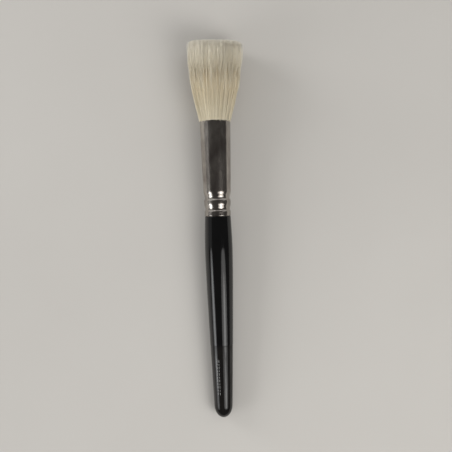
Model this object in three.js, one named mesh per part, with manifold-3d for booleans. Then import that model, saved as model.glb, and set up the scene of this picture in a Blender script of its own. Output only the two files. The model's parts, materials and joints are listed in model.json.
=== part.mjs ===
// Round soft duo-fibre brush, lying on a table: turned and lacquered wooden handle, crimped
// nickel-plated ferrule, and a flared tuft of goat hair with longer synthetic fibre tips.
// Millimetres, +Z up. The brush's axis runs along +Y, butt first, and rises a little towards the
// tuft, because the brush rests on its butt and on the side of its tuft.

import * as THREE from 'three';
import { mergeVertices } from 'three/addons/utils/BufferGeometryUtils.js';
import Module from 'manifold-3d';

const wasm = await Module();
wasm.setup();

// Lengths along the brush's own axis.
const HANDLE_LENGTH = 89.6;
const FERRULE_LENGTH = 41.4;
const HAIR_LENGTH = 34;
const TENON_LENGTH = 19;
const GOAT_HAIR_TOP = 22.5;

// Wall and layer thicknesses, and the clearances between neighbours.
const LACQUER_THICKNESS = 0.25;
const FERRULE_WALL = 0.35;
const TENON_RADIUS = 4.6;
const LAYER_GAP = 0.1;
const PIECE_GAP = 0.3;

// Handle: a quarter ellipse at the butt, then radii at distances from the butt.
const BUTT_LENGTH = 5.6;
const BUTT_RADIUS = 4.04;
const BUTT_STEPS = 6;
const HANDLE_PROFILE = [
  [14.5, 4.39],
  [28.8, 4.88],
  [43.1, 5.37],
  [57.3, 5.78],
  [67.2, 6.01],
  [75.3, 6.12],
  [82.4, 5.95],
];
const SHOULDER_RADIUS = 5.6;
const TENON_CHAMFER = 0.8;

// Ferrule: outer radii at distances from its handle end, two rolled crimps, then a straight taper.
const CRIMP_PROFILE = [
  [0.3, 5.71],
  [0.7, 5.69],
  [1.1, 5.62],
  [1.85, 5.77],
  [2.7, 5.45],
  [3.6, 5.44],
  [4.5, 5.71],
  [5.5, 5.87],
  [6.6, 5.87],
  [7.6, 5.46],
  [8.4, 5.45],
  [9.3, 5.74],
  [10.2, 5.99],
  [11.4, 6.08],
];
const MOUTH_RADIUS = 6.75;

// Inside the ferrule, at distances from its handle end.
const PLUG_START = 21;
const PLUG_END = 26.5;
const ROOT_RADIUS = 5.3;
const THREAD_RADIUS = 0.2;
const THREAD_PITCH = 0.75;
const THREAD_TURNS = 5;
const THREAD_START = 28;

// Tuft: outer radii at distances from the ferrule's mouth, its widest point, and the share of the
// radius that is core.
const WIDEST_RADIUS = 11.3;
const WIDEST_AT = 26;
const TUFT_PROFILE = [
  [0, 6.55],
  [2.1, 7.15],
  [5.5, 8.25],
  [9.0, 9.35],
  [12.4, 10.3],
  [17.6, 11.0],
  [22.0, 11.2],
  [WIDEST_AT, WIDEST_RADIUS],
  [30.5, 11.3],
  [32.6, 10.9],
  [33.6, 9.9],
  [34.0, 8.0],
];
const CORE_SHARE = 0.5;
const LOCKS = 8;

const MOUTH = HANDLE_LENGTH + FERRULE_LENGTH;
const TURN_SEGMENTS = 32;

// Resting pose: the butt and the tuft touch the table, and the table presses the tuft flat by
// this much at its widest point. The brush's axis rises from the one to the other.
const TUFT_PRESS = 0.9;
const AXIS_RISE = WIDEST_RADIUS - TUFT_PRESS - BUTT_RADIUS;
const REST_TILT = Math.asin(AXIS_RISE / (MOUTH + WIDEST_AT - BUTT_LENGTH));

const FINISHES = {
  wood: { color: 0xcaa571, roughness: 0.7, metalness: 0 },
  lacquer: { color: 0x0b0b0c, roughness: 0.08, metalness: 0 },
  nickel: { color: 0xc4c2be, roughness: 0.16, metalness: 1 },
  glue: { color: 0xb98b3c, roughness: 0.4, metalness: 0 },
  resin: { color: 0x8b6f3a, roughness: 0.3, metalness: 0 },
  thread: { color: 0xe8e2d2, roughness: 0.9, metalness: 0 },
  goat: { color: 0xc9bb98, roughness: 0.6, metalness: 0 },
  fibre: { color: 0xd2c8b8, roughness: 0.4, metalness: 0 },
};

// ---- helpers ---------------------------------------------------------------------------------

// Radius at a distance along a profile of [distance, radius] points, straight between them.
function radiusAt(profile, distance) {
  const after = profile.findIndex(([station]) => station >= distance);
  if (after === 0) return profile[0][1];
  if (after < 0) return profile.at(-1)[1];
  const [s0, r0] = profile[after - 1];
  const [s1, r1] = profile[after];
  return r0 + ((r1 - r0) * (distance - s0)) / (s1 - s0);
}

// The part of a profile between two distances, with its end points worked out.
function profileBetween(profile, from, to) {
  const inside = profile.filter(([station]) => station > from && station < to);
  return [[from, radiusAt(profile, from)], ...inside, [to, radiusAt(profile, to)]];
}

// A solid turned about the brush's axis from [distance, radius] points.
function turned(points) {
  const outline = points.map(([distance, radius]) => new THREE.Vector2(radius, distance));
  return new THREE.LatheGeometry(outline, TURN_SEGMENTS);
}

// A turned solid whose outline starts and ends on the axis.
function turnedSolid(points) {
  return turned([[points[0][0], 0], ...points, [points.at(-1)[0], 0]]);
}

// A turned ring: outer points in one direction, inner points back, and closed on itself.
function turnedRing(outer, inner) {
  const back = [...inner].reverse();
  return turned([...outer, ...back, outer[0]]);
}

const shifted = (points, along, outward) => points.map(([s, r]) => [s + along, r + outward]);

function toManifold(geometry) {
  const bare = geometry.clone();
  bare.deleteAttribute('normal');
  bare.deleteAttribute('uv');
  const merged = mergeVertices(bare, 1e-4);
  const triVerts = [];
  const index = merged.index.array;
  for (let i = 0; i < index.length; i += 3) {
    const [a, b, c] = [index[i], index[i + 1], index[i + 2]];
    if (a !== b && b !== c && c !== a) triVerts.push(a, b, c);
  }
  return new wasm.Manifold(new wasm.Mesh({
    numProp: 3,
    vertProperties: new Float32Array(merged.attributes.position.array),
    triVerts: new Uint32Array(triVerts),
  }));
}

function toGeometry(solid) {
  const mesh = solid.getMesh();
  const geometry = new THREE.BufferGeometry();
  geometry.setAttribute('position', new THREE.BufferAttribute(mesh.vertProperties, 3));
  geometry.setIndex(new THREE.BufferAttribute(mesh.triVerts, 1));
  geometry.computeVertexNormals();
  return geometry;
}

function piece(name, geometry, finish) {
  const mesh = new THREE.Mesh(geometry, new THREE.MeshStandardMaterial(FINISHES[finish]));
  mesh.name = name;
  return mesh;
}

// ---- handle ----------------------------------------------------------------------------------

function handleOutline() {
  const dome = [];
  for (let step = 1; step <= BUTT_STEPS; step += 1) {
    const angle = (step / BUTT_STEPS) * (Math.PI / 2);
    dome.push([BUTT_LENGTH * (1 - Math.cos(angle)), BUTT_RADIUS * Math.sin(angle)]);
  }
  return [...dome, ...HANDLE_PROFILE, [HANDLE_LENGTH, SHOULDER_RADIUS]];
}

// Turned birch: the handle's body under the lacquer, a square shoulder and a plain tenon.
function handleCore() {
  const skin = LACQUER_THICKNESS + LAYER_GAP;
  const wood = handleOutline().map(([s, r]) => [Math.max(s, skin), r - skin]);
  const tenonEnd = HANDLE_LENGTH + TENON_LENGTH;
  return turned([
    [skin, 0],
    ...wood.filter(([, r]) => r > 0.5),
    [HANDLE_LENGTH, TENON_RADIUS],
    [tenonEnd - TENON_CHAMFER, TENON_RADIUS],
    [tenonEnd, TENON_RADIUS - TENON_CHAMFER],
    [tenonEnd, 0],
  ]);
}

// Lacquer coat: a thin cup from the butt to the shoulder, open towards the ferrule.
function handleLacquer() {
  const outer = handleOutline();
  const inner = outer.map(([s, r]) => [Math.max(s, LACQUER_THICKNESS), r - LACQUER_THICKNESS]);
  const bottomInside = inner.filter(([, r]) => r > 0.5).reverse();
  return turned([[0, 0], ...outer, ...bottomInside, [LACQUER_THICKNESS, 0]]);
}

// ---- ferrule and what it holds -----------------------------------------------------------------

function ferruleOutline() {
  return [...CRIMP_PROFILE, [FERRULE_LENGTH, MOUTH_RADIUS]];
}

function ferrule() {
  const outer = ferruleOutline();
  return turnedRing(outer, shifted(outer, 0, -FERRULE_WALL));
}

// Glue sleeve: fills the space between the tenon and the crimped ferrule.
function tenonAdhesive() {
  const outside = profileBetween(ferruleOutline(), 2 * PIECE_GAP, TENON_LENGTH - TENON_CHAMFER);
  const outer = shifted(outside, 0, -FERRULE_WALL - LAYER_GAP);
  const inner = [outer[0], outer.at(-1)].map(([s]) => [s, TENON_RADIUS + LAYER_GAP]);
  return turnedRing(outer, inner);
}

function insideRadius(distance) {
  return radiusAt(ferruleOutline(), distance) - FERRULE_WALL - LAYER_GAP;
}

function rootGluePlug() {
  return turnedSolid([
    [PLUG_START, insideRadius(PLUG_START)],
    [PLUG_END, insideRadius(PLUG_END)],
  ]);
}

// The packed root of the hair bundle: bound tight at its foot, filling the ferrule at its mouth.
function hairRoots() {
  const bindingEnd = THREAD_START + THREAD_PITCH * THREAD_TURNS + 2 * THREAD_RADIUS;
  return turnedSolid([
    [PLUG_END + PIECE_GAP, ROOT_RADIUS],
    [bindingEnd, ROOT_RADIUS],
    [bindingEnd + 3, insideRadius(bindingEnd + 3)],
    [FERRULE_LENGTH, insideRadius(FERRULE_LENGTH)],
  ]);
}

class ThreadHelix extends THREE.Curve {
  getPoint(t) {
    const angle = t * THREAD_TURNS * 2 * Math.PI;
    const radius = ROOT_RADIUS + LAYER_GAP + THREAD_RADIUS;
    const along = THREAD_START + THREAD_PITCH * THREAD_TURNS * t;
    return new THREE.Vector3(radius * Math.cos(angle), along, radius * Math.sin(angle));
  }
}

function bindingThread() {
  const section = new THREE.Shape();
  section.absarc(0, 0, THREAD_RADIUS, 0, 2 * Math.PI, false);
  return new THREE.ExtrudeGeometry(section, {
    steps: 22 * THREAD_TURNS,
    curveSegments: 3,
    bevelEnabled: false,
    extrudePath: new ThreadHelix(),
  });
}

// ---- tuft --------------------------------------------------------------------------------------

// A wedge about the brush's axis, wide enough for one lock, set back from its neighbours.
function lockWedge(lock, from, to) {
  const half = Math.PI / LOCKS;
  const reach = 3 * MOUTH_RADIUS;
  const apex = PIECE_GAP / 2 / Math.sin(half);
  const outline = new THREE.Shape();
  outline.moveTo(apex, 0);
  outline.lineTo(apex + reach * Math.cos(half), -reach * Math.sin(half));
  outline.lineTo(apex + reach * Math.cos(half), reach * Math.sin(half));
  outline.closePath();
  const wedge = new THREE.ExtrudeGeometry(outline, { depth: to - from, bevelEnabled: false });
  wedge.rotateX(-Math.PI / 2);
  wedge.rotateY((lock + 0.5) * 2 * half - Math.PI / 2 + half);
  wedge.translate(0, from, 0);
  return wedge;
}

// One stretch of the tuft as a round core and a ring of locks, cut flat by the table below it.
function tuftStretch(prefix, from, to, finish, table) {
  const outer = profileBetween(TUFT_PROFILE, from, to);
  const core = outer.map(([s, r]) => [s, r * CORE_SHARE]);
  const ring = toManifold(turnedRing(outer, [core[0], core.at(-1)].map(([s, r]) => [s, r + PIECE_GAP])));
  const pieces = [piece(`${prefix}_core`, turnedSolid([core[0], core.at(-1)]), finish)];
  for (let lock = 0; lock < LOCKS; lock += 1) {
    const wedge = toManifold(lockWedge(lock, from - 1, to + 1));
    const solid = ring.intersect(wedge).subtract(table);
    pieces.push(piece(`${prefix}_lock_${lock + 1}`, toGeometry(solid), finish));
  }
  for (const part of pieces) part.position.y = MOUTH;
  return pieces;
}

// ---- assembly ----------------------------------------------------------------------------------

// The brush's own frame, set down so that the butt touches the table and the tuft is pressed.
function restingFrame() {
  const frame = new THREE.Group();
  frame.rotation.x = REST_TILT;
  frame.updateMatrixWorld(true);
  const handle = new THREE.Mesh(handleLacquer());
  handle.applyMatrix4(frame.matrixWorld);
  frame.position.z = -new THREE.Box3().setFromObject(handle, true).min.z;
  frame.updateMatrixWorld(true);
  return frame;
}

// The table's top layer as a solid, in the tuft's own frame (mouth of the ferrule at its origin).
function tableBelow(frame) {
  const slab = new THREE.BoxGeometry(80, 400, 10);
  slab.translate(0, 0, -5);
  const toTuft = frame.matrixWorld.clone().multiply(new THREE.Matrix4().makeTranslation(0, MOUTH, 0));
  slab.applyMatrix4(toTuft.invert());
  return toManifold(slab);
}

function atFerrule(mesh) {
  mesh.position.y = HANDLE_LENGTH;
  return mesh;
}

const brush = restingFrame();
const table = tableBelow(brush);
brush.add(
  piece('handle_core', handleCore(), 'wood'),
  piece('handle_lacquer', handleLacquer(), 'lacquer'),
  atFerrule(piece('ferrule', ferrule(), 'nickel')),
  atFerrule(piece('tenon_adhesive', tenonAdhesive(), 'glue')),
  atFerrule(piece('root_glue_plug', rootGluePlug(), 'resin')),
  atFerrule(piece('binding_thread', bindingThread(), 'thread')),
  atFerrule(piece('hair_roots', hairRoots(), 'goat')),
  ...tuftStretch('goat', PIECE_GAP, GOAT_HAIR_TOP - PIECE_GAP / 2, 'goat', table),
  ...tuftStretch('fibre', GOAT_HAIR_TOP + PIECE_GAP / 2, HAIR_LENGTH, 'fibre', table),
);

// The part's origin is under the middle of the brush, on the table.
const part = new THREE.Group();
part.add(brush);
part.updateMatrixWorld(true);
const middle = new THREE.Box3().setFromObject(part, true).getCenter(new THREE.Vector3());
brush.position.x -= middle.x;
brush.position.y -= middle.y;

export default part;
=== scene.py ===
"""Looks of the round soft duo-fibre brush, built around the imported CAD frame. Metres, +Z up."""

import json
import math

import bpy
import numpy as np
from mathutils import Matrix, Vector

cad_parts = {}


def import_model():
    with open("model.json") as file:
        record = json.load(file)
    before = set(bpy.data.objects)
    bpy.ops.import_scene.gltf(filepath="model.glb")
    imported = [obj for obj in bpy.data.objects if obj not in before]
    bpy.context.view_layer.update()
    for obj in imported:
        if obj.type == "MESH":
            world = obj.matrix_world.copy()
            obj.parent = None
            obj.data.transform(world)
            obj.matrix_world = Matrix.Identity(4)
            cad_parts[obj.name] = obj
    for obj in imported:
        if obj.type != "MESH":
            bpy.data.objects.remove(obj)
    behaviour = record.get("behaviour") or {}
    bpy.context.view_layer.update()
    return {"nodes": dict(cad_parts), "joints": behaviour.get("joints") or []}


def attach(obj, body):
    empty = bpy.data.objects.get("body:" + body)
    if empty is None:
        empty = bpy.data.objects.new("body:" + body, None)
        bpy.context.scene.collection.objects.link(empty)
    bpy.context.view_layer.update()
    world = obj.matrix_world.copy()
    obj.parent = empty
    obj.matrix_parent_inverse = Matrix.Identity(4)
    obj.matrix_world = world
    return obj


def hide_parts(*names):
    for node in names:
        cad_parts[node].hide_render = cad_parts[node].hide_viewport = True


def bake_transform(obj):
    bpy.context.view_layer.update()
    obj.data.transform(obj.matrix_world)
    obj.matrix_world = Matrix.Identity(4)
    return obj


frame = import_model()

MM = 0.001

# ---- the brush's own frame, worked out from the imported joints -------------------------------

HANDLE_LENGTH = 89.6 * MM
FERRULE_LENGTH = 41.4 * MM
MOUTH = HANDLE_LENGTH + FERRULE_LENGTH
HAIR_LENGTH = 34 * MM
GOAT_TOP = 22.5 * MM

JOINTS = {joint["name"]: Vector(joint["pos_m"]) for joint in frame["joints"]}
MOUTH_POINT = np.array(JOINTS["tuft_bend"])
AXIS = np.array((JOINTS["tip_bend"] - JOINTS["tuft_bend"]).normalized())
SIDE = np.array((1.0, 0.0, 0.0))
UP = np.cross(SIDE, AXIS)


def on_axis(station):
    """The point of the brush's axis at a distance from the butt."""
    return MOUTH_POINT + np.asarray(station)[..., None] * AXIS - MOUTH * AXIS


def around(station, radius, angle):
    """Points at a radius from the axis; angle 0 is straight up and a quarter turn is +X."""
    outward = np.sin(angle)[..., None] * SIDE + np.cos(angle)[..., None] * UP
    return on_axis(station) + np.asarray(radius)[..., None] * outward


# ---- outlines, in millimetres: (distance, radius) --------------------------------------------

BUTT_LENGTH = 5.6
BUTT_RADIUS = 4.04
LACQUER_THICKNESS = 0.25
# From the end of the butt's dome to the shoulder, with a faint ridge where the dip line is.
HANDLE_OUTLINE = [
    (10.9, 4.25), (14.5, 4.39), (21.7, 4.62), (28.8, 4.87), (32.3, 4.98), (32.5, 4.99),
    (32.7, 5.04), (32.9, 5.05), (35.9, 5.13), (43.1, 5.37),
    (50.2, 5.58), (57.3, 5.78), (64.4, 5.95), (71.6, 6.08), (75.3, 6.12), (78.8, 6.06),
    (82.4, 5.95), (85.9, 5.82), (88.8, 5.70), (89.3, 5.66), (89.57, 5.48),
]
FERRULE_WALL = 0.35
# From the handle to the mouth: a rolled lip, two crimps, a slight cone and a rounded mouth.
FERRULE_OUTLINE = [
    (0.02, 5.60), (0.05, 5.69), (0.12, 5.75), (0.5, 5.78), (1.0, 5.78), (1.5, 5.785), (1.9, 5.78),
    (2.15, 5.72), (2.4, 5.59), (2.65, 5.46), (2.95, 5.42), (3.3, 5.43), (3.6, 5.47), (4.0, 5.56),
    (4.4, 5.67), (4.8, 5.78), (5.2, 5.85), (5.6, 5.88), (6.2, 5.89), (6.7, 5.88), (7.0, 5.81),
    (7.25, 5.65), (7.5, 5.50), (7.8, 5.43), (8.1, 5.43), (8.4, 5.48), (8.8, 5.58), (9.3, 5.74),
    (9.8, 5.90), (10.2, 5.99), (10.7, 6.05), (11.5, 6.08), (14.0, 6.14), (40.9, 6.74),
    (41.2, 6.745), (41.33, 6.71), (41.4, 6.62),
]
# The full tuft, from inside the mouth to the trimmed tips.
TUFT_OUTLINE = [
    (-3.0, 6.25), (-0.4, 6.30), (0.0, 6.55), (0.7, 6.95), (2.1, 7.35), (3.8, 7.80), (5.5, 8.35),
    (7.2, 8.85), (9.0, 9.35), (10.7, 9.85), (12.4, 10.3), (14.1, 10.6), (17.6, 11.0),
    (22.0, 11.2), (26.0, 11.3), (30.5, 11.3), (34.0, 11.35),
]
# The share of the tuft's radius, and the height of the trimmed top over the mouth there.
TRIM_OUTLINE = [(0.0, 34.0), (0.8, 34.0), (0.93, 33.9), (1.0, 33.6)]
# How much lower the trimmed top is at the right edge, and higher at the left.
TRIM_SLANT = 0.45
# How much shorter the hair is along the upper side, as the tuft lies.
TRIM_DROP = 1.3
# Steps between each two points of an outline.
CURVE_STEPS = 6


def smooth_curve(outline):
    """A smooth curve through the outline's points that doesn't overshoot where it turns back."""
    x, y = np.array(outline, float).T
    slope = np.diff(y) / np.diff(x)
    tangent = np.concatenate([[slope[0]], (slope[1:] + slope[:-1]) / 2, [slope[-1]]])
    turning = slope[1:] * slope[:-1] <= 0
    tangent[1:-1][turning] = 0
    out_x, out_y = [x[:1]], [y[:1]]
    t = np.linspace(0, 1, CURVE_STEPS + 1)[1:]
    for i, width in enumerate(np.diff(x)):
        h00 = 2 * t**3 - 3 * t**2 + 1
        h10 = t**3 - 2 * t**2 + t
        h01 = 3 * t**2 - 2 * t**3
        h11 = t**3 - t**2
        bend = width * (h10 * tangent[i] + h11 * tangent[i + 1])
        out_x.append(x[i] + width * t)
        out_y.append(h00 * y[i] + h01 * y[i + 1] + bend)
    return np.column_stack([np.concatenate(out_x), np.concatenate(out_y)])


# ---- mesh helpers ------------------------------------------------------------------------------

def new_object(name, vertices, faces, material, smooth=True):
    """A mesh object from its points and faces."""
    mesh = bpy.data.meshes.new(name)
    mesh.from_pydata(np.asarray(vertices).tolist(), [], faces)
    mesh.polygons.foreach_set("use_smooth", [smooth] * len(mesh.polygons))
    mesh.materials.append(material)
    mesh.validate()
    obj = bpy.data.objects.new(name, mesh)
    bpy.context.scene.collection.objects.link(obj)
    return obj


def turned(name, outline, material, segments, start=0.0, pole=False):
    """A turned solid from a closed outline in mm, or with pole from one that ends on the axis."""
    outline = np.asarray(outline, float)
    rings = outline[1:-1] if pole else outline
    angle = np.linspace(0, 2 * np.pi, segments, endpoint=False)
    station = np.repeat(rings[:, 0], segments) * MM + start
    points = around(station, np.repeat(rings[:, 1], segments) * MM, np.tile(angle, len(rings)))
    faces = []
    bands = len(rings) - 1 if pole else len(rings)
    for ring in range(bands):
        following = (ring + 1) % len(rings)
        for k in range(segments):
            beside = (k + 1) % segments
            faces.append((ring * segments + k, ring * segments + beside,
                          following * segments + beside, following * segments + k))
    if pole:
        ends = on_axis(outline[[0, -1], 0] * MM + start)
        first = len(points)
        points = np.vstack([points, ends])
        top = (len(rings) - 1) * segments
        for k in range(segments):
            beside = (k + 1) % segments
            faces.append((first, beside, k))
            faces.append((first + 1, top + k, top + beside))
    return new_object(name, points, faces, material)


# ---- material helpers --------------------------------------------------------------------------

class Nodes:
    """A material's node tree, with short calls for the nodes that the finishes share."""

    def __init__(self, name):
        self.material = bpy.data.materials.new(name)
        self.material.use_nodes = True
        self.tree = self.material.node_tree
        self.shader = self.tree.nodes["Principled BSDF"]
        self.object_coordinates = self.add("ShaderNodeTexCoord").outputs["Object"]

    def add(self, kind, **settings):
        node = self.tree.nodes.new(kind)
        for key, value in settings.items():
            setattr(node, key, value)
        return node

    def link(self, source, target):
        self.tree.links.new(source, target)

    def set(self, **values):
        for key, value in values.items():
            self.shader.inputs[key.replace("_", " ")].default_value = value

    def stretched(self, scale):
        """Object coordinates scaled by a different amount along each axis."""
        node = self.add("ShaderNodeMapping")
        node.inputs["Scale"].default_value = scale
        self.link(self.object_coordinates, node.inputs["Vector"])
        return node.outputs["Vector"]

    def noise(self, vector, scale, detail=4.0, roughness=0.55):
        node = self.add("ShaderNodeTexNoise")
        node.inputs["Scale"].default_value = scale
        node.inputs["Detail"].default_value = detail
        node.inputs["Roughness"].default_value = roughness
        self.link(vector, node.inputs["Vector"])
        return node.outputs["Fac"]

    def grain(self, per_metre, detail, roughness):
        """Noise with a different number of features per metre along each axis."""
        return self.noise(self.stretched(per_metre), 1, detail, roughness)

    def ramp(self, factor, stops):
        node = self.add("ShaderNodeValToRGB")
        elements = node.color_ramp.elements
        while len(elements) < len(stops):
            elements.new(0.5)
        for element, (place, colour) in zip(elements, stops):
            element.position = place
            element.color = (*colour, 1)
        self.link(factor, node.inputs["Fac"])
        return node.outputs["Color"]

    def span(self, value, from_low, from_high, to_low, to_high):
        node = self.add("ShaderNodeMapRange")
        for key, number in zip(("From Min", "From Max", "To Min", "To Max"),
                               (from_low, from_high, to_low, to_high)):
            if isinstance(number, (int, float)):
                node.inputs[key].default_value = number
            else:
                self.link(number, node.inputs[key])
        self.link(value, node.inputs["Value"])
        return node.outputs["Result"]

    def math(self, operation, a, b):
        node = self.add("ShaderNodeMath", operation=operation)
        for socket, value in zip(node.inputs, (a, b)):
            if isinstance(value, (int, float)):
                socket.default_value = value
            else:
                self.link(value, socket)
        return node.outputs["Value"]

    def mix(self, factor, a, b):
        node = self.add("ShaderNodeMix", data_type="RGBA")
        colours = [socket for socket in node.inputs if socket.type == "RGBA"]
        for socket, value in ((node.inputs[0], factor), (colours[0], a), (colours[1], b)):
            if isinstance(value, tuple):
                socket.default_value = (*value, 1)
            else:
                self.link(value, socket)
        return next(output for output in node.outputs if output.type == "RGBA")

    def bump(self, height, distance):
        node = self.add("ShaderNodeBump")
        node.inputs["Distance"].default_value = distance
        self.link(height, node.inputs["Height"])
        self.link(node.outputs["Normal"], self.shader.inputs["Normal"])


def along_brush(nodes):
    """Distance along +Y, as a socket."""
    split = nodes.add("ShaderNodeSeparateXYZ")
    nodes.link(nodes.object_coordinates, split.inputs["Vector"])
    return split.outputs["Y"]


# ---- materials ---------------------------------------------------------------------------------

# Grain of the finishes: features per metre along X, Y and Z.
LACQUER_SCRATCHES = (2600, 60, 2600)
LACQUER_WEAR = (420, 70, 420)
LACQUER_WAVES = (60, 14, 60)
NICKEL_SMUDGES = (170, 75, 170)
NICKEL_LINES = (5200, 45, 5200)
WOOD_GRAIN = (900, 22, 900)
PACKED_HAIRS = (4200, 60, 4200)
# Spots without a direction: features per metre.
LACQUER_CLOUDS, LACQUER_DUST = 90, 1700
NICKEL_STAINS = 420
INK_WEAR = 3200
GLUE_CLOUDS = 600
THREAD_TWIST = 1500
TABLE_CLOUDS = 9

DIP_LINE = 32.6 * MM
DIP_FADE = 0.4 * MM
FINE_RELIEF = 0.05 * MM
FULL_SHINE = 0.5


def lacquer_material():
    """Black lacquer: glossy with fine scratches, and browner and more worn below the dip line."""
    n = Nodes("black_lacquer")
    dip = float(on_axis(DIP_LINE)[1])
    below = n.span(along_brush(n), dip + DIP_FADE, dip - DIP_FADE, 0, 1)
    cloud = n.noise(n.object_coordinates, LACQUER_CLOUDS, detail=3)
    above_colour = n.ramp(cloud, [(0.3, (0.0016, 0.0016, 0.0018)), (0.7, (0.0030, 0.0030, 0.0032))])
    below_colour = n.ramp(cloud, [(0.3, (0.0050, 0.0046, 0.0044)), (0.7, (0.0075, 0.0068, 0.0062))])
    n.link(n.mix(below, above_colour, below_colour), n.shader.inputs["Base Color"])
    scratches = n.grain(LACQUER_SCRATCHES, detail=6, roughness=0.7)
    dust = n.noise(n.object_coordinates, LACQUER_DUST, detail=2, roughness=0.5)
    scratched, dusty = n.span(scratches, 0.45, 0.75, 0.075, 0.15), n.span(dust, 0.62, 0.75, 0, 0.1)
    n.link(n.math("ADD", scratched, dusty), n.shader.inputs["Roughness"])
    wear = n.grain(LACQUER_WEAR, detail=4, roughness=0.6)
    worn_shine = n.span(wear, 0.35, 0.6, 0.22, FULL_SHINE)
    n.link(n.span(below, 0, 1, FULL_SHINE, worn_shine), n.shader.inputs["Specular IOR Level"])
    waves = n.grain(LACQUER_WAVES, detail=2, roughness=0.4)
    n.bump(n.math("ADD", waves, n.math("MULTIPLY", scratches, 0.02)), FINE_RELIEF)
    n.set(IOR=1.5)
    return n.material


NICKEL_RELIEF = 0.03 * MM


def nickel_material():
    """Polished nickel plate: handling smudges, faint lengthwise polishing lines, small stains."""
    n = Nodes("nickel")
    smudge = n.grain(NICKEL_SMUDGES, detail=5, roughness=0.62)
    lines = n.grain(NICKEL_LINES, detail=3, roughness=0.6)
    stain = n.noise(n.object_coordinates, NICKEL_STAINS, detail=4, roughness=0.7)
    plate = n.ramp(smudge, [
        (0.35, (0.28, 0.25, 0.23)), (0.5, (0.41, 0.38, 0.35)), (0.65, (0.53, 0.50, 0.46)),
    ])
    stained = n.mix(n.span(stain, 0.58, 0.72, 0, 0.35), plate, (0.37, 0.33, 0.28))
    n.link(stained, n.shader.inputs["Base Color"])
    rough = n.math("ADD", n.span(smudge, 0.3, 0.7, 0.11, 0.20), n.span(lines, 0.3, 0.7, 0, 0.03))
    n.link(rough, n.shader.inputs["Roughness"])
    n.bump(n.math("ADD", n.math("MULTIPLY", lines, 0.03), smudge), NICKEL_RELIEF)
    n.set(Metallic=1.0)
    return n.material


def ink_material():
    """Silver-grey pad-printed ink with a slightly worn, broken film."""
    n = Nodes("mark_ink")
    worn = n.noise(n.object_coordinates, INK_WEAR, detail=4, roughness=0.7)
    colour = n.ramp(worn, [(0.35, (0.10, 0.10, 0.10)), (0.6, (0.30, 0.30, 0.29))])
    n.link(colour, n.shader.inputs["Base Color"])
    n.link(n.span(worn, 0.3, 0.7, 0.3, 0.55), n.shader.inputs["Roughness"])
    return n.material


def wood_material():
    """Birch with fine straight grain."""
    n = Nodes("birch")
    grain = n.grain(WOOD_GRAIN, detail=6, roughness=0.65)
    colour = n.ramp(grain, [(0.3, (0.45, 0.28, 0.14)), (0.7, (0.72, 0.54, 0.34))])
    n.link(colour, n.shader.inputs["Base Color"])
    n.link(n.span(grain, 0.3, 0.7, 0.75, 0.55), n.shader.inputs["Roughness"])
    n.bump(grain, FINE_RELIEF)
    return n.material


def set_glue_material(name, dark, light, roughness):
    """Glue or resin that has set: clouded colour and a lumpy surface."""
    n = Nodes(name)
    cloud = n.noise(n.object_coordinates, GLUE_CLOUDS)
    n.link(n.ramp(cloud, [(0.3, dark), (0.7, light)]), n.shader.inputs["Base Color"])
    n.link(n.span(cloud, 0.3, 0.7, roughness, roughness + 0.15), n.shader.inputs["Roughness"])
    n.bump(cloud, FINE_RELIEF)
    return n.material


def thread_material():
    """Twisted cotton."""
    n = Nodes("cotton_thread")
    twist = n.add("ShaderNodeTexWave", wave_type="BANDS", bands_direction="DIAGONAL")
    twist.inputs["Scale"].default_value = THREAD_TWIST
    twist.inputs["Distortion"].default_value = 2
    n.link(n.object_coordinates, twist.inputs["Vector"])
    n.link(n.ramp(twist.outputs["Fac"], [(0.2, (0.55, 0.5, 0.4)), (0.8, (0.85, 0.81, 0.72))]),
           n.shader.inputs["Base Color"])
    n.link(n.span(twist.outputs["Fac"], 0, 1, 0.95, 0.8), n.shader.inputs["Roughness"])
    n.bump(twist.outputs["Fac"], FINE_RELIEF)
    return n.material


def packed_hair_material():
    """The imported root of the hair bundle: fine lengthwise hairs."""
    n = Nodes("packed_hair")
    hairs = n.grain(PACKED_HAIRS, detail=5, roughness=0.7)
    colour = n.ramp(hairs, [(0.3, (0.36, 0.28, 0.16)), (0.7, (0.72, 0.64, 0.47))])
    n.link(colour, n.shader.inputs["Base Color"])
    n.link(n.span(hairs, 0.3, 0.7, 0.8, 0.55), n.shader.inputs["Roughness"])
    n.bump(hairs, 2 * FINE_RELIEF)
    return n.material


# How many different tints the strands of one kind of hair have.
TINTS = 64
ROUGHNESS_SPREAD = 0.06


def hair_material(name, along, light_spread, roughness):
    """Hair coloured along its length by the stops in along, with a tint for each strand.

    A strand's map holds its tint across and the height over the mouth along it."""
    n = Nodes(name)
    strand_map = n.add("ShaderNodeUVMap", uv_map="OFBake").outputs["UV"]
    split = n.add("ShaderNodeSeparateXYZ")
    n.link(strand_map, split.inputs["Vector"])
    column = n.math("FLOOR", n.math("MULTIPLY", split.outputs["X"], TINTS), 0)
    random = n.add("ShaderNodeTexWhiteNoise", noise_dimensions="1D")
    n.link(column, random.inputs["W"])
    colour = n.ramp(split.outputs["Y"], along)
    tint = n.span(random.outputs["Value"], 0, 1, 1 - light_spread, 1 + light_spread)
    shade = n.add("ShaderNodeVectorMath", operation="SCALE")
    n.link(colour, shade.inputs[0])
    n.link(tint, shade.inputs["Scale"])
    n.link(shade.outputs["Vector"], n.shader.inputs["Base Color"])
    smoothest, roughest = roughness - ROUGHNESS_SPREAD, roughness + ROUGHNESS_SPREAD
    n.link(n.span(random.outputs["Value"], 0, 1, smoothest, roughest), n.shader.inputs["Roughness"])
    n.set(Specular_IOR_Level=0.4)
    return n.material


# ---- handle and ferrule ------------------------------------------------------------------------

DOME_STEPS = 24
HANDLE_SEGMENTS, FERRULE_SEGMENTS = 192, 224


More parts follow.
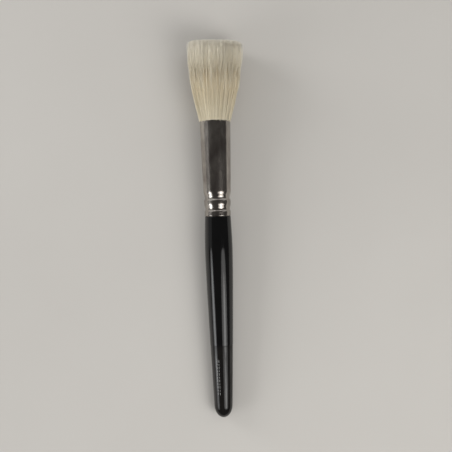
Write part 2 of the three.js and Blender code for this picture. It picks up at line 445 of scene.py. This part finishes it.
def lacquered_handle(material):
    """The lacquer coat as a thin cup, rounded at the butt and the shoulder; returns its outside."""
    angle = np.linspace(0, np.pi / 2, DOME_STEPS + 1)
    dome = np.column_stack([BUTT_LENGTH * (1 - np.cos(angle)), BUTT_RADIUS * np.sin(angle)])
    outside = np.vstack([dome[:-1], smooth_curve([tuple(dome[-1]), *HANDLE_OUTLINE])])
    off_axis = outside[:, 1] > 4 * LACQUER_THICKNESS
    inside = outside[off_axis][::-1].copy()
    inside[:, 1] -= LACQUER_THICKNESS
    inside[:, 0] = np.maximum(inside[:, 0], LACQUER_THICKNESS)
    outline = np.vstack([outside, inside, [[LACQUER_THICKNESS, 0]]])
    coat = turned("lacquered_handle", outline, material, HANDLE_SEGMENTS, pole=True)
    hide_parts("handle_lacquer")
    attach(coat, "handle")
    return outside


def crimped_ferrule(material):
    """The seamless ferrule with its two rolled crimps, a rounded lip and a rounded mouth."""
    outside = smooth_curve(FERRULE_OUTLINE)
    inside = outside[1:-1][::-1].copy()
    inside[:, 1] -= FERRULE_WALL
    tube = turned("crimped_ferrule", np.vstack([outside, inside]), material, FERRULE_SEGMENTS,
                  start=HANDLE_LENGTH)
    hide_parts("ferrule")
    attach(tube, "handle")


MARK_START, MARK_END = 11.0, 26.0
MARK_ANGLE = math.radians(-23)
MARK_PROUD = 0.02
DASH_LENGTHS = (1.1, 0.7)
DASH_GAP = 0.55
DASH_HALF_WIDTH = 0.55
BOX_FACES = ((0, 2, 3, 1), (4, 5, 7, 6), (0, 1, 5, 4), (2, 6, 7, 3), (0, 4, 6, 2), (1, 3, 7, 5))


def printed_mark(outside, material):
    """A generic mark: a row of plain printed dashes along the handle."""
    vertices, faces = [], []
    place = MARK_START
    while place < MARK_END:
        base = len(vertices)
        length = DASH_LENGTHS[base // 8 % len(DASH_LENGTHS)]
        for layer in (-MARK_PROUD, MARK_PROUD):
            for station in (place, place + length):
                radius = np.interp(station, outside[:, 0], outside[:, 1]) + layer
                for side in (-DASH_HALF_WIDTH, DASH_HALF_WIDTH):
                    angle = np.array(MARK_ANGLE + side / radius)
                    vertices.append(around(np.array(station * MM), np.array(radius * MM), angle))
        for quad in BOX_FACES:
            faces.append(tuple(base + corner for corner in quad))
        place += length + DASH_GAP
    mark = new_object("printed_dashes", vertices, faces, material, smooth=False)
    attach(mark, "handle")


# ---- hair --------------------------------------------------------------------------------------

LOCKS = 8
LOCK_STRANDS = 1500
GOAT_CORE_STRANDS = 2400
FIBRE_CORE_STRANDS = 3000
# A strand's cross-section is a triangle.
SIDES = 3
# The core fills this share of the tuft's radius, and no strand strays past the widest share.
CORE_SHARE = 0.5
WIDEST_SHARE = 1.03
# In millimetres: where hair starts to lie along the table, and how far the tips lean to +X.
FLOOR_SOFTNESS = 1.0
TIP_LEAN = 0.9
FULL_HEIGHT = HAIR_LENGTH / MM

TUFT_CURVE = smooth_curve(TUFT_OUTLINE)


def tuft_radius(height):
    """The tuft's radius at a height over the mouth, in millimetres."""
    return np.interp(height, TUFT_CURVE[:, 0], TUFT_CURVE[:, 1])


def strand_mesh(name, paths, radii, along, tint, turn, material):
    """Thin closed tubes along paths (strand, ring, xyz in mm), with their tint map."""
    count, rings, _ = paths.shape
    side_angle = turn[:, None] + np.arange(SIDES) * (2 * np.pi / SIDES)
    across = np.cos(side_angle)[..., None] * SIDE + np.sin(side_angle)[..., None] * UP
    points = paths[:, :, None, :] + radii[:, :, None, None] * across[:, None, :, :]
    points = (points * MM).reshape(-1, 3)
    first = (np.arange(count) * rings * SIDES)[:, None, None]
    ring = (np.arange(rings - 1) * SIDES)[None, :, None]
    side = np.arange(SIDES)[None, None, :]
    beside = (np.arange(SIDES) + 1)[None, None, :] % SIDES
    a = first + ring + side
    b = first + ring + beside
    quads = np.stack([a, a + SIDES, b + SIDES, b], axis=-1).reshape(-1, 4)
    base = first[:, 0] + np.arange(SIDES)[None, :]
    tip = first[:, 0] + (rings - 1) * SIDES + np.arange(SIDES)[None, ::-1]
    caps = np.concatenate([base, tip])
    loops = np.concatenate([quads.ravel(), caps.ravel()]).astype(np.int32)
    sizes = np.concatenate([np.full(len(quads), 4), np.full(len(caps), SIDES)]).astype(np.int32)
    starts = np.concatenate([[0], np.cumsum(sizes)[:-1]]).astype(np.int32)

    mesh = bpy.data.meshes.new(name)
    mesh.vertices.add(len(points))
    mesh.vertices.foreach_set("co", points.astype(np.float32).ravel())
    mesh.loops.add(len(loops))
    mesh.loops.foreach_set("vertex_index", loops)
    mesh.polygons.add(len(sizes))
    mesh.polygons.foreach_set("loop_start", starts)
    mesh.polygons.foreach_set("loop_total", sizes)
    mesh.polygons.foreach_set("use_smooth", np.ones(len(sizes), bool))
    mesh.update(calc_edges=True)
    per_vertex = np.empty((count, rings, SIDES, 2), np.float32)
    per_vertex[..., 0] = ((tint + 0.5) / TINTS)[:, None, None]
    per_vertex[..., 1] = along[:, :, None]
    layer = mesh.uv_layers.new(name="OFBake")
    layer.data.foreach_set("uv", per_vertex.reshape(-1, 2)[loops].ravel())
    mesh.materials.append(material)
    obj = bpy.data.objects.new(name, mesh)
    bpy.context.scene.collection.objects.link(obj)
    return obj


def press_on_table(points):
    """Hair that would dip through the table lies along it instead (millimetres)."""
    height = points[..., 2]
    low = height < FLOOR_SOFTNESS
    lying = FLOOR_SOFTNESS * np.exp((height - FLOOR_SOFTNESS) / FLOOR_SOFTNESS)
    points[..., 2] = np.where(low, lying, height)
    return points


def tuft_points(height, share, angle, sideways):
    """Points in mm at a height over the mouth, a share of the tuft's radius, and an angle."""
    radius = share * tuft_radius(height)
    points = around((height * MM) + MOUTH, radius * MM, angle) / MM
    lean = TIP_LEAN * np.clip(height / FULL_HEIGHT, 0, 2)
    points = points + lean[..., None] * SIDE + sideways
    return press_on_table(points)


def clump_centres(seed, clumps):
    """Random centres, spread over the whole tuft, that neighbouring strands lean towards."""
    random = np.random.default_rng(seed)
    share, angle = np.sqrt(random.uniform(0, 1, clumps)), random.uniform(-np.pi, np.pi, clumps)
    return share * np.cos(angle), share * np.sin(angle)


def nearest_clump(centres, x, y):
    """The number of each strand's nearest clump, and the way to its centre."""
    cx, cy = centres
    nearest = np.argmin((x[:, None] - cx) ** 2 + (y[:, None] - cy) ** 2, axis=1)
    return nearest, cx[nearest] - x, cy[nearest] - y


EDGE_BLUR = 0.012


def lock_places(random, count, lock):
    """Shares of the radius and angles for the strands of one lock, or of the core."""
    if lock is None:
        share = np.sqrt(random.uniform(0.0, CORE_SHARE**2, count))
        return share, random.uniform(-np.pi, np.pi, count)
    width = 2 * np.pi / LOCKS
    share = random.uniform(CORE_SHARE**3, 1.0, count) ** (1 / 3) + random.normal(0, EDGE_BLUR, count)
    middle = np.pi - (LOCKS / 2 - lock) * width
    return share, middle + random.uniform(-0.5, 0.5, count) * width


# The share of the strands that stray, and how far these and the others wander, in millimetres.
STRAY_SHARE = 0.10
STRAY, STEADY = 0.8, 0.2
# Heights over the mouth by which a strand has reached its clump, and its full stray.
CLUMP_HEIGHT, STRAY_HEIGHT = 20, 30
# The thinnest and the thickest strand, as a share of the usual thickness.
THICKNESS_RANGE = (0.75, 1.25)
CLUMP_TINT_SEED = 7


def hair_piece(kind, part, lock, count, seed):
    """The strands of one lock, or of the core, of one kind of hair."""
    random = np.random.default_rng(seed)
    share, angle = lock_places(random, count, lock)
    x, y = share * np.cos(angle), share * np.sin(angle)
    clump, dx, dy = nearest_clump(kind.centres, x, y)
    low, high = kind.bottom(random, share), kind.top(random, share, x, y)
    step = np.linspace(0, 1, kind.rings)
    height = low[:, None] + (high - low)[:, None] * step
    flow = kind.pull * np.clip(height / CLUMP_HEIGHT, 0, 1) ** 1.5
    x = x[:, None] + flow * dx[:, None]
    y = y[:, None] + flow * dy[:, None]
    wander = random.normal(0, 1, (count, 2))
    wander *= np.where(random.random(count) < STRAY_SHARE, STRAY, STEADY)[:, None]
    bend = np.clip(height / STRAY_HEIGHT, 0, 1.2)[..., None] ** 2
    sideways = bend * (wander[:, None, :1] * SIDE + wander[:, None, 1:] * UP)
    kept = np.minimum(np.hypot(x, y), WIDEST_SHARE) * kind.spread(height, height - low[:, None])
    paths = tuft_points(height, kept, np.arctan2(y, x), sideways)
    thickness = kind.thickness * random.uniform(*THICKNESS_RANGE, count)
    radii = thickness[:, None] * np.interp(step, *kind.taper)
    clump_tints = np.random.default_rng(CLUMP_TINT_SEED).integers(0, TINTS // 3, len(kind.centres[0]))
    tint = (clump_tints[clump] + random.integers(0, TINTS, count)) % TINTS
    along = np.clip(height / FULL_HEIGHT, 0, 1)
    turn = random.uniform(0, 2 * np.pi, count)
    return strand_mesh(f"{kind.name}_{part}", paths, radii, along, tint, turn, kind.material)


def hair_pieces(kind):
    """The core and the locks of one kind of hair, each with the CAD node that it replaces."""
    parts = [("core", None, kind.core_strands)]
    parts += [(f"lock_{k}", k, LOCK_STRANDS) for k in range(1, LOCKS + 1)]
    for number, (part, lock, count) in enumerate(parts):
        piece = hair_piece(kind, part, lock, count, kind.seed + number)
        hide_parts(f"{kind.node}_{part}")
        yield piece


# Heights over the mouth, in millimetres, between which a joint's bend would come in; no bend is set up
# here, and only GOAT_BLEND_END is used, for where deep fibres start.
GOAT_BLEND_END = 9
TIP_BLEND_START, TIP_BLEND_END = 17, 34


def over_mouth(height):
    """The point of the axis at a height over the mouth, given in millimetres."""
    return tuple(on_axis(MOUTH + height * MM))


class GoatHair:
    """Dense natural hair: fine tapered tips that end unevenly. Lengths are in millimetres.

    A strand goes part of the way, by pull, to the centre of its clump. taper is its thickness along
    its length. The hair draws in by a share of the radius over the first stretch out of the ferrule,
    under the fibres that run down its outside."""

    name, node = "goat_hair", "goat"
    seed = 100
    core_strands = GOAT_CORE_STRANDS
    rings = 9
    centres = clump_centres(seed=11, clumps=420)
    pull = 0.12
    thickness = 0.06
    taper = ((0, 0.75, 0.93, 1), (1, 0.95, 0.6, 0.18))
    foot = -2.0
    tips_rounded_by, tips_moved_by, tips_scatter = 0.8, -0.4, 1.6
    drawn_in_by, drawn_in_over = 0.06, 12

    def __init__(self, material):
        self.material = material

    def bottom(self, random, share):
        """All the hair starts inside the ferrule."""
        return np.full(len(share), self.foot)

    def top(self, random, share, upward, sideways):
        """Uneven ends, a little lower at the outside."""
        rounded = GOAT_TOP / MM - self.tips_rounded_by * share**2
        return rounded + random.normal(self.tips_moved_by, self.tips_scatter, len(share))

    def spread(self, height, over_foot):
        return 1 - self.drawn_in_by * np.clip(height / self.drawn_in_over, 0, 1)


class FibreTips:
    """Longer, straighter synthetic fibres that stand out of the goat hair, trimmed nearly flat.

    Past the outside share of the radius, most fibres start late, at the goat hair's tips, and only a
    few start deep. A fibre comes out from among the goat hair over the first stretch of its length."""

    name, node = "fibre_tips", "fibre"
    seed = 300
    core_strands = FIBRE_CORE_STRANDS
    rings = 7
    centres = clump_centres(seed=23, clumps=700)
    pull = 0.05
    thickness = 0.05
    taper = ((0, 0.9, 1), (1, 0.95, 0.65))
    deep_feet, late_feet = (GOAT_BLEND_END + 0.5, 15), (19, 22.5)
    outside_share, deep_portion = 0.82, 0.13
    tips_moved_by, tips_scatter, tips_limits = -0.7, 0.9, (-3.0, 0.1)
    hidden_share, comes_out_over = 0.09, 4

    def __init__(self, material):
        self.material = material

    def bottom(self, random, share):
        deep = random.uniform(*self.deep_feet, len(share))
        late = random.uniform(*self.late_feet, len(share))
        starts_late = (share > self.outside_share) & (random.random(len(share)) > self.deep_portion)
        return np.where(starts_late, late, deep)

    def top(self, random, share, upward, sideways):
        """The trimmed top, with a few fibres cut short."""
        trim_share, trim_height = np.array(TRIM_OUTLINE).T
        trimmed = np.interp(share, trim_share, trim_height) - TRIM_SLANT * sideways
        trimmed -= TRIM_DROP * np.clip(upward, 0, 1)**2
        scatter = random.normal(self.tips_moved_by, self.tips_scatter, len(share))
        return trimmed + scatter.clip(*self.tips_limits)

    def spread(self, height, over_foot):
        return 1 - self.hidden_share * (1 - np.clip(over_foot / self.comes_out_over, 0, 1))


def goat_hair(material):
    """The goat hair's pieces, with their placement baked into their meshes."""
    for piece in hair_pieces(GoatHair(material)):
        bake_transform(piece)


def fibre_tips(material):
    """The fibres' pieces, with their placement baked into their meshes; the axis points between which
    their upper half would bend are worked out but not used.
    """
    start, end = over_mouth(TIP_BLEND_START), over_mouth(TIP_BLEND_END)
    for piece in hair_pieces(FibreTips(material)):
        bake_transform(piece)
        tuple(start)
        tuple(end)


# ---- stage, light and camera -------------------------------------------------------------------

TABLE_HALF = 0.62
# Lights stand at these distances from the brush, in metres.
WINDOW_DISTANCE = 0.6
FAR_WALL_DISTANCE = 0.8
FAR_WALL_WIDTH, FAR_WALL_HEIGHT = 0.72, 0.60
FAR_WALL_RISE = 0.4
WARM, COOL, PLAIN = (1.0, 0.99, 0.97), (0.98, 0.99, 1.0), (1.0, 1.0, 1.0)


def floor():
    """A plain pale table top."""
    n = Nodes("floor")
    cloud = n.noise(n.object_coordinates, TABLE_CLOUDS, detail=3)
    colour = n.ramp(cloud, [(0.3, (0.515, 0.497, 0.470)), (0.7, (0.535, 0.517, 0.490))])
    n.link(colour, n.shader.inputs["Base Color"])
    n.set(Roughness=0.75, Specular_IOR_Level=0.25)
    corners = [(x * TABLE_HALF, y * TABLE_HALF, 0) for x, y in ((-1, -1), (1, -1), (1, 1), (-1, 1))]
    new_object("floor", corners, [(0, 1, 2, 3)], n.material, smooth=False)


def area_light(name, shape, length, height, radiance, location, along, away):
    """A flat light at a location, facing against away, with its length in the direction along."""
    data = bpy.data.lights.new(name, "AREA")
    data.shape = shape
    data.size, data.size_y = length, height
    rounding = math.pi / 4 if shape == "ELLIPSE" else 1
    data.energy = radiance * math.pi * length * height * rounding
    light = bpy.data.objects.new(name, data)
    light.matrix_world = Matrix((along, away.cross(along), away)).transposed().to_4x4()
    light.location = location
    light.visible_camera = False
    bpy.context.scene.collection.objects.link(light)
    return light


def window(name, side, zenith, spread, near, far, radiance, colour, shape="RECTANGLE", mirrored=True):
    """A long soft window beside the brush, parallel to it and facing it.

    side is +1 right or -1 left. zenith and spread are its direction and height in degrees, from
    straight up as seen from the brush. near and far are where it ends along the brush. radiance is
    its brightness, shape its outline, and mirrored says whether the brush's gloss shows it."""
    middle = math.radians(zenith)
    height = 2 * WINDOW_DISTANCE * math.tan(math.radians(spread / 2))
    away = Vector((side * math.sin(middle), 0, math.cos(middle)))
    along = Vector((0, 1, 0))
    location = away * WINDOW_DISTANCE + along * (near + far) / 2
    light = area_light(name, shape, abs(near - far), height, radiance, location, along, away)
    light.data.color = colour
    light.visible_glossy = mirrored


def far_wall(azimuth, radiance):
    """A pale piece of wall past the tuft, at an azimuth from +Y, seen as a soft line in the crimps."""
    turn = math.radians(azimuth)
    away = Vector((math.sin(turn), math.cos(turn), FAR_WALL_RISE)).normalized()
    across = Vector((math.cos(turn), -math.sin(turn), 0))
    light = area_light("pale_wall_far", "RECTANGLE", FAR_WALL_WIDTH, FAR_WALL_HEIGHT, radiance,
                       away * FAR_WALL_DISTANCE, across, away)
    light.visible_diffuse = False


def lights():
    """Two windows past the butt, two soft lights past the tuft, and the pale walls around.

    A window is mirrored as a dim oval with a bright core. The rest of its light isn't mirrored."""
    right = {"side": 1, "colour": WARM, "shape": "ELLIPSE"}
    right_oval = {"zenith": 35, "spread": 52, "near": -0.07, "far": -0.495, **right}
    window("window_right", radiance=1.7, **right_oval)
    window("window_right_core", zenith=36, spread=20, near=-0.13, far=-0.40, radiance=2.8, **right)
    window("window_right_rest", radiance=2.25, mirrored=False, **right_oval)
    left = {"side": -1, "colour": COOL, "shape": "ELLIPSE"}
    left_oval = {"zenith": 66.5, "spread": 33, "near": -0.055, "far": -0.485, **left}
    window("window_left", radiance=1.9, **left_oval)
    window("window_left_core", zenith=65, spread=14, near=-0.09, far=-0.33, radiance=2.4, **left)
    window("window_left_rest", radiance=2.15, mirrored=False, **left_oval)
    window("fill_right", side=1, zenith=35, spread=46, near=0.50, far=0.20,
           radiance=0.8, colour=PLAIN, mirrored=False)
    window("fill_left", side=-1, zenith=66.5, spread=29, near=0.50, far=0.20,
           radiance=6.4, colour=PLAIN, mirrored=False)
    window("pale_wall_left", side=-1, zenith=72, spread=32, near=0.35, far=-0.05,
           radiance=0.25, colour=PLAIN)
    for azimuth in (-48, 0, 48):
        far_wall(azimuth, radiance=0.5)


ROOM_LIGHT = 0.43
ROOM_MIRRORED = (0.085, 0.081, 0.078, 1)
ROOM_BACKDROP = (0.50, 0.49, 0.47, 1)


def world():
    """Even room light; dim where it would be mirrored, and pale where the camera looks past."""
    made = bpy.data.worlds.new("room")
    made.use_nodes = True
    tree = made.node_tree
    path = tree.nodes.new("ShaderNodeLightPath")
    shader = tree.nodes["Background"]
    shader.inputs["Color"].default_value = (*WARM, 1)
    shader.inputs["Strength"].default_value = ROOM_LIGHT
    for ray, colour in (("Is Glossy Ray", ROOM_MIRRORED), ("Is Camera Ray", ROOM_BACKDROP)):
        seen = tree.nodes.new("ShaderNodeBackground")
        seen.inputs["Color"].default_value = colour
        mixed = tree.nodes.new("ShaderNodeMixShader")
        tree.links.new(path.outputs[ray], mixed.inputs["Fac"])
        tree.links.new(shader.outputs[0], mixed.inputs[1])
        tree.links.new(seen.outputs["Background"], mixed.inputs[2])
        shader = mixed
    tree.links.new(shader.outputs[0], tree.nodes["World Output"].inputs["Surface"])
    bpy.context.scene.world = made
    bpy.context.scene.view_settings.view_transform = "Standard"


CAMERA_HEIGHT = 0.3064
SENSOR_WIDTH = 36
FIELD_OF_VIEW = math.radians(36.79)
CAMERA_ROLL = math.radians(-1.72)
AIM_RIGHT, AIM_DOWN = 3.59 * MM, 4.48 * MM


def camera():
    """Looks straight down, a little to the right of the handle's shoulder and short of it, slightly
    rolled."""
    data = bpy.data.cameras.new("camera")
    data.sensor_width = SENSOR_WIDTH
    data.lens = data.sensor_width / 2 / math.tan(FIELD_OF_VIEW / 2)
    data.clip_start, data.clip_end = 0.01, 20
    right = Vector((math.cos(CAMERA_ROLL), math.sin(CAMERA_ROLL), 0))
    up = Vector((-math.sin(CAMERA_ROLL), math.cos(CAMERA_ROLL), 0))
    shoulder = Vector(on_axis(HANDLE_LENGTH))
    shoulder.z = 0
    view = bpy.data.objects.new("camera", data)
    view.location = shoulder + right * AIM_RIGHT - up * AIM_DOWN + Vector((0, 0, CAMERA_HEIGHT))
    view.rotation_euler = (0, 0, CAMERA_ROLL)
    bpy.context.scene.collection.objects.link(view)
    bpy.context.scene.camera = view


# ---- assembly ----------------------------------------------------------------------------------

def finish_hidden_nodes():
    """Materials for the nodes that keep their CAD shape."""
    adhesive = set_glue_material("set_adhesive", (0.36, 0.18, 0.04), (0.55, 0.33, 0.10), 0.4)
    resin = set_glue_material("set_resin", (0.18, 0.10, 0.03), (0.33, 0.21, 0.08), 0.2)
    finishes = {
        "handle_core": wood_material(),
        "tenon_adhesive": adhesive,
        "root_glue_plug": resin,
        "binding_thread": thread_material(),
        "hair_roots": packed_hair_material(),
    }
    for node, material in finishes.items():
        slots = frame["nodes"][node].data.materials
        slots.clear()
        slots.append(material)


# Colours of the hair: (share of the tuft's height over the mouth, colour).
GOAT_COLOURS = [
    (0.0, (0.77, 0.70, 0.54)), (0.18, (0.76, 0.68, 0.51)), (0.42, (0.77, 0.67, 0.48)),
    # The goat hair darkens towards its tips: partly the tips' own darker tone, partly painted shade
    # between the goat hair and the fibres.
    (0.56, (0.74, 0.63, 0.44)), (0.66, (0.68, 0.58, 0.40)),
]
FIBRE_COLOURS = [
    # The fibres darken from 0.5 to 0.66, where they pass the goat hair's tips: painted shade between
    # the two layers.
    (0.3, (0.84, 0.79, 0.66)), (0.5, (0.80, 0.73, 0.58)), (0.66, (0.79, 0.72, 0.57)),
    (0.78, (0.86, 0.80, 0.66)), (1.0, (0.89, 0.84, 0.73)),
]

camera()
lights()
world()
floor()
finish_hidden_nodes()
handle_outside = lacquered_handle(lacquer_material())
crimped_ferrule(nickel_material())
printed_mark(handle_outside, ink_material())
goat_hair(hair_material("goat_hair", GOAT_COLOURS, light_spread=0.09, roughness=0.55))
fibre_tips(hair_material("synthetic_fibre", FIBRE_COLOURS, light_spread=0.06, roughness=0.5))
